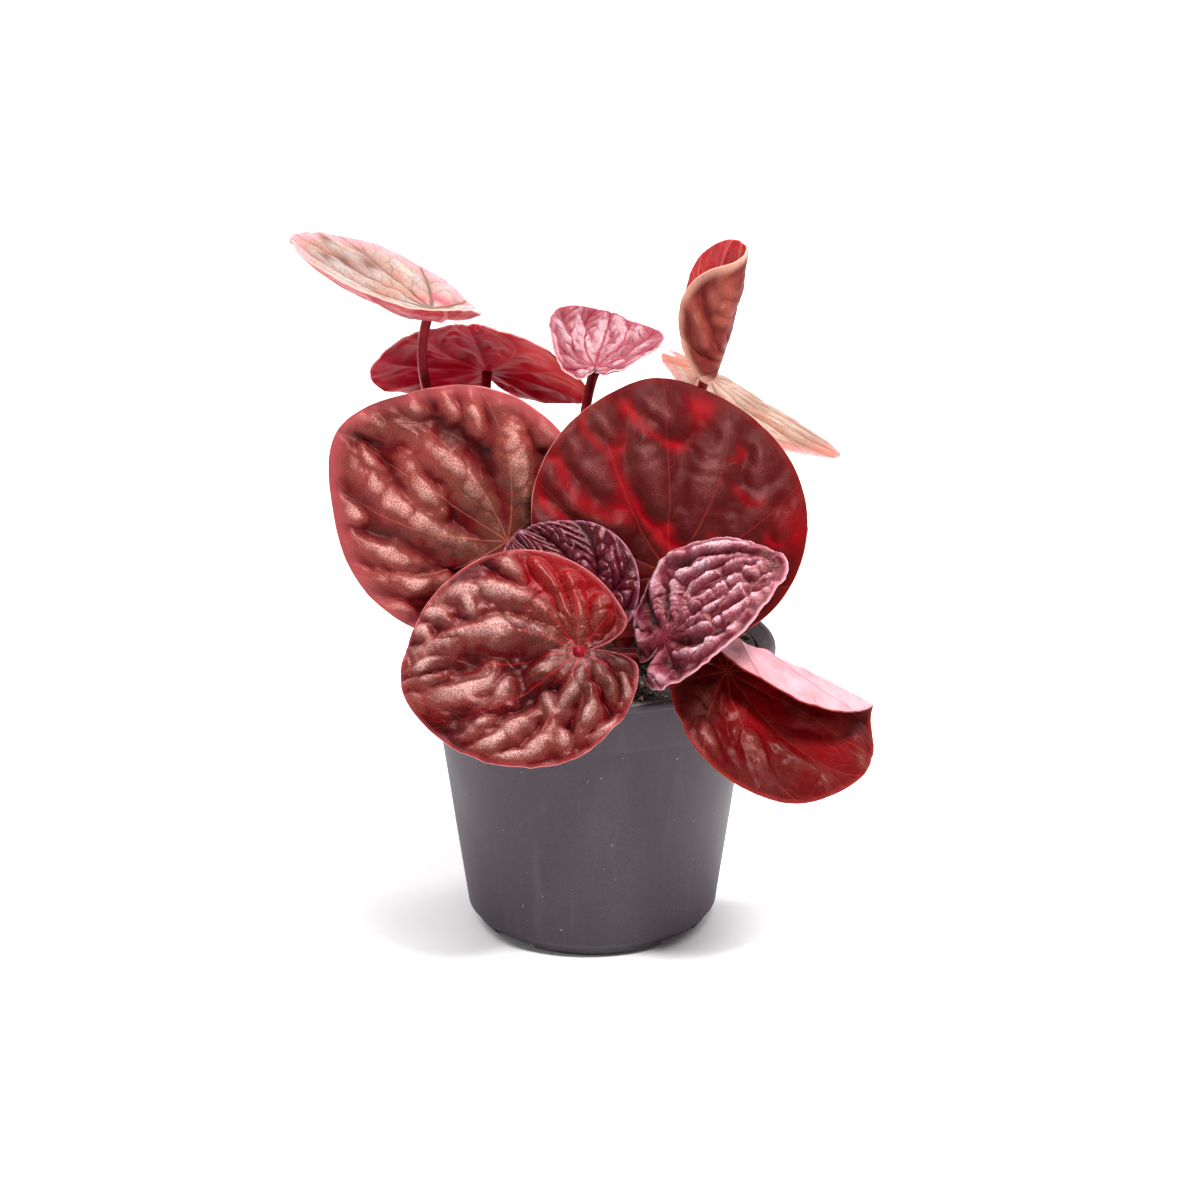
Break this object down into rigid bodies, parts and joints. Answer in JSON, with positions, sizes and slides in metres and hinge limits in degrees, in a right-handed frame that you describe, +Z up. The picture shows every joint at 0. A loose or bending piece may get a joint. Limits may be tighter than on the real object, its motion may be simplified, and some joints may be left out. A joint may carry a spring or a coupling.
{
  "type": "potted plant",
  "caption": "Small potted ripple peperomia: round rippled red leaves on thin stalks above a tapered plastic nursery pot filled with soil.",
  "frame": {"origin": "centre of the pot's flat base, on the surface it stands on", "axes": "+Z up along the pot's axis; -Y is the front, where two low leaves hang over the lip; +X is to the right seen from the front"},
  "size_m": [0.1418, 0.153, 0.1737],
  "materials": {
    "pot_plastic": "matte grey-mauve injection-moulded plastic with a fine grain",
    "soil": null,
    "crown": "short brown-red stem",
    "leaf_front_left": null,
    "leaf_big_left": null,
    "leaf_big_right": null,
    "leaf_young_front": null,
    "leaf_dark_centre": null,
    "leaf_front_right": null,
    "leaf_top_left": null,
    "leaf_back_left": null,
    "leaf_top_middle": null,
    "leaf_top_right": null,
    "leaf_far_right": null,
    "leaf_rear_left": null,
    "leaf_rear_middle": null,
    "leaf_rear_right": null,
    "petiole": null
  },
  "bodies": {
    "root": {"pot": "pot_plastic", "soil": "soil", "crown": "crown", "leaf_front_left": "leaf_front_left", "leaf_big_left": "leaf_big_left", "leaf_big_right": "leaf_big_right", "leaf_young_front": "leaf_young_front", "leaf_dark_centre": "leaf_dark_centre", "leaf_front_right": "leaf_front_right", "leaf_top_left": "leaf_top_left", "leaf_back_left": "leaf_back_left", "leaf_top_middle": "leaf_top_middle", "leaf_top_right": "leaf_top_right", "leaf_far_right": "leaf_far_right", "leaf_rear_left": "leaf_rear_left", "leaf_rear_middle": "leaf_rear_middle", "leaf_rear_right": "leaf_rear_right", "petiole_front_left": "petiole", "petiole_big_left": "petiole", "petiole_big_right": "petiole", "petiole_young_front": "petiole", "petiole_dark_centre": "petiole", "petiole_front_right": "petiole", "petiole_top_left": "petiole", "petiole_back_left": "petiole", "petiole_top_middle": "petiole", "petiole_top_right": "petiole", "petiole_far_right": "petiole", "petiole_rear_left": "petiole", "petiole_rear_middle": "petiole", "petiole_rear_right": "petiole"}
  },
  "joints": []
}
